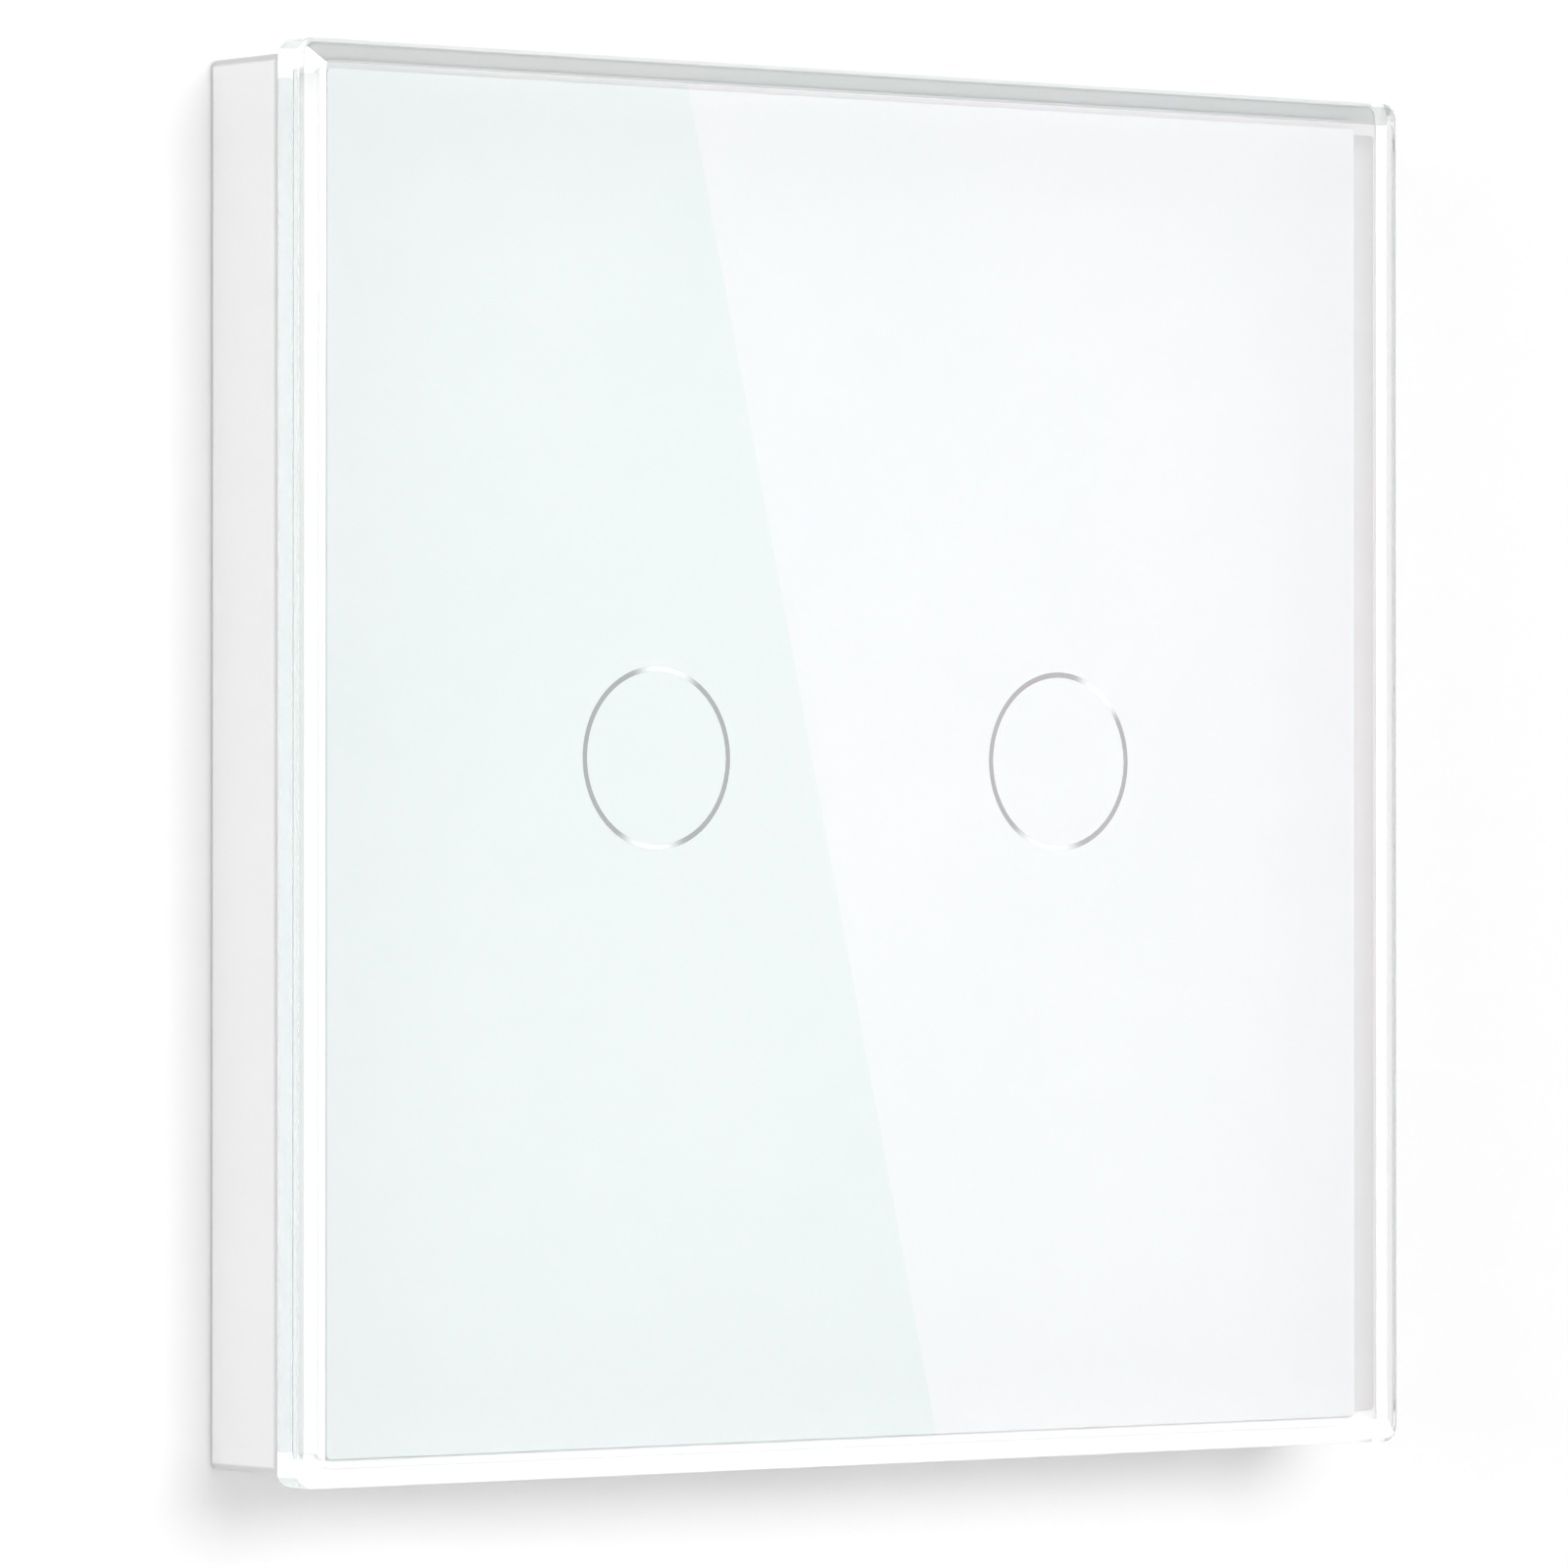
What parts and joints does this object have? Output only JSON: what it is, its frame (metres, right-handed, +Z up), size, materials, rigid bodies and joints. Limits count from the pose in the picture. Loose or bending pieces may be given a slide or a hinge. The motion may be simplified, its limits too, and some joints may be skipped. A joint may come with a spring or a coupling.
{
  "type": "touch light switch",
  "caption": "Square bevelled glass touch switch for lights, with ring marks, a pull-off panel, a steel wall bracket and a boxed relay module with screw terminals.",
  "frame": {"origin": "midway between the two fixing slots, on the wall plane", "axes": "+X to the right seen from the front, +Y into the wall, +Z up"},
  "size_m": [0.086, 0.0368, 0.086],
  "materials": {
    "clear_glass": "polished clear glass with a ground and polished bevel",
    "white_print": "opaque white ink fired on the back of the glass",
    "silver_ink": "thin silver ink line seen through the glass",
    "adhesive": "double-sided foam tape",
    "frame_plastic": "moulded light grey-white, fine matt texture",
    "cover_plastic": "moulded white, matt",
    "housing_plastic": "moulded flame-retardant off-white, matt",
    "bracket_steel": "zinc-plated pressed steel sheet",
    "screw_steel": "zinc-plated",
    "terminal_brass": "tinned brass",
    "cage_steel": "zinc-plated pressed cage",
    "board_laminate": "green solder mask on glass-fibre laminate",
    "conductive_foam": "black conductive foam",
    "guide_acrylic": "clear moulded light guide",
    "led_resin": "cream lamp body",
    "chip_resin": "black moulded package",
    "connector_plastic": "black connector plastic",
    "sheet_film": "insulating film",
    "relay_plastic": "blue relay case",
    "relay_base_plastic": "black relay base",
    "coil_copper": "enamelled copper winding",
    "yoke_iron": "nickel-plated soft iron",
    "contact_metal": "spring bronze with silver contacts",
    "capacitor_can": "sleeved aluminium can",
    "fuse_resin": "round moulded fuse",
    "film_box": "yellow box",
    "varistor_coat": "blue epoxy coat",
    "ferrite": "dark ferrite"
  },
  "bodies": {
    "module": {"mounting_bracket": "bracket_steel", "module_cover": "cover_plastic", "touch_board": "board_laminate", "touch_board_screws": "screw_steel", "touch_electrodes": "conductive_foam", "light_guides": "guide_acrylic", "status_leds": "led_resin", "touch_chip": "chip_resin", "pin_header": "connector_plastic", "pin_socket": "connector_plastic", "rear_housing": "housing_plastic", "housing_screws": "screw_steel", "insulating_sheet": "sheet_film", "power_board": "board_laminate", "power_board_screws": "screw_steel", "electrolytic_capacitor": "capacitor_can", "fuse": "fuse_resin", "film_capacitor": "film_box", "varistor": "varistor_coat", "transformer_core": "ferrite", "transformer_coil": "coil_copper", "bridge_rectifier": "chip_resin", "terminal_block": "housing_plastic", "wire_guide": "housing_plastic", "relay_left_case": "relay_plastic", "relay_left_base": "relay_base_plastic", "relay_left_coil": "coil_copper", "relay_left_yoke": "yoke_iron", "relay_left_contact": "contact_metal", "relay_right_case": "relay_plastic", "relay_right_base": "relay_base_plastic", "relay_right_coil": "coil_copper", "relay_right_yoke": "yoke_iron", "relay_right_contact": "contact_metal", "terminal_bar_1": "terminal_brass", "terminal_bar_2": "terminal_brass", "terminal_bar_3": "terminal_brass", "terminal_bar_4": "terminal_brass"},
    "panel": {"glass_panel": "clear_glass", "ring_marks": "silver_ink", "panel_print": "white_print", "panel_adhesive": "adhesive", "panel_frame": "frame_plastic"},
    "screw_1": {"terminal_screw_1": "screw_steel"},
    "cage_1": {"terminal_cage_1": "cage_steel"},
    "screw_2": {"terminal_screw_2": "screw_steel"},
    "cage_2": {"terminal_cage_2": "cage_steel"},
    "screw_3": {"terminal_screw_3": "screw_steel"},
    "cage_3": {"terminal_cage_3": "cage_steel"},
    "screw_4": {"terminal_screw_4": "screw_steel"},
    "cage_4": {"terminal_cage_4": "cage_steel"},
    "armature_left": {"relay_left_armature": "yoke_iron"},
    "armature_right": {"relay_right_armature": "yoke_iron"}
  },
  "joints": [
    {"name": "panel_pull", "type": "slide", "parent": "module", "child": "panel", "axis": [0, -1, 0], "range_m": [0, 0.02]},
    {"name": "screw_turn_1", "type": "hinge", "parent": "module", "child": "screw_1", "pos_m": [-0.015, 0.02, -0.0194], "axis": [0, -1, 0], "range_deg": [0, 1440]},
    {"name": "cage_rise_1", "type": "slide", "parent": "module", "child": "cage_1", "axis": [0, 1, 0], "range_m": [0, 0.002]},
    {"name": "screw_turn_2", "type": "hinge", "parent": "module", "child": "screw_2", "pos_m": [-0.005, 0.02, -0.0194], "axis": [0, -1, 0], "range_deg": [0, 1440]},
    {"name": "cage_rise_2", "type": "slide", "parent": "module", "child": "cage_2", "axis": [0, 1, 0], "range_m": [0, 0.002]},
    {"name": "screw_turn_3", "type": "hinge", "parent": "module", "child": "screw_3", "pos_m": [0.005, 0.02, -0.0194], "axis": [0, -1, 0], "range_deg": [0, 1440]},
    {"name": "cage_rise_3", "type": "slide", "parent": "module", "child": "cage_3", "axis": [0, 1, 0], "range_m": [0, 0.002]},
    {"name": "screw_turn_4", "type": "hinge", "parent": "module", "child": "screw_4", "pos_m": [0.015, 0.02, -0.0194], "axis": [0, -1, 0], "range_deg": [0, 1440]},
    {"name": "cage_rise_4", "type": "slide", "parent": "module", "child": "cage_4", "axis": [0, 1, 0], "range_m": [0, 0.002]},
    {"name": "armature_swing_left", "type": "hinge", "parent": "module", "child": "armature_left", "pos_m": [-0.006, 0.0161, 0.0167], "axis": [-1, 0, 0], "range_deg": [0, 4], "stiffness_Nm_per_rad": 0.0005, "springref_deg": -28.65},
    {"name": "armature_swing_right", "type": "hinge", "parent": "module", "child": "armature_right", "pos_m": [0.006, 0.0161, 0.0167], "axis": [-1, 0, 0], "range_deg": [0, 4], "stiffness_Nm_per_rad": 0.0005, "springref_deg": -28.65}
  ],
  "couplings": [
    {"joint": "screw_turn_1", "follows": "cage_rise_1", "rad_per_m": 12566},
    {"joint": "screw_turn_2", "follows": "cage_rise_2", "rad_per_m": 12566},
    {"joint": "screw_turn_3", "follows": "cage_rise_3", "rad_per_m": 12566},
    {"joint": "screw_turn_4", "follows": "cage_rise_4", "rad_per_m": 12566}
  ]
}
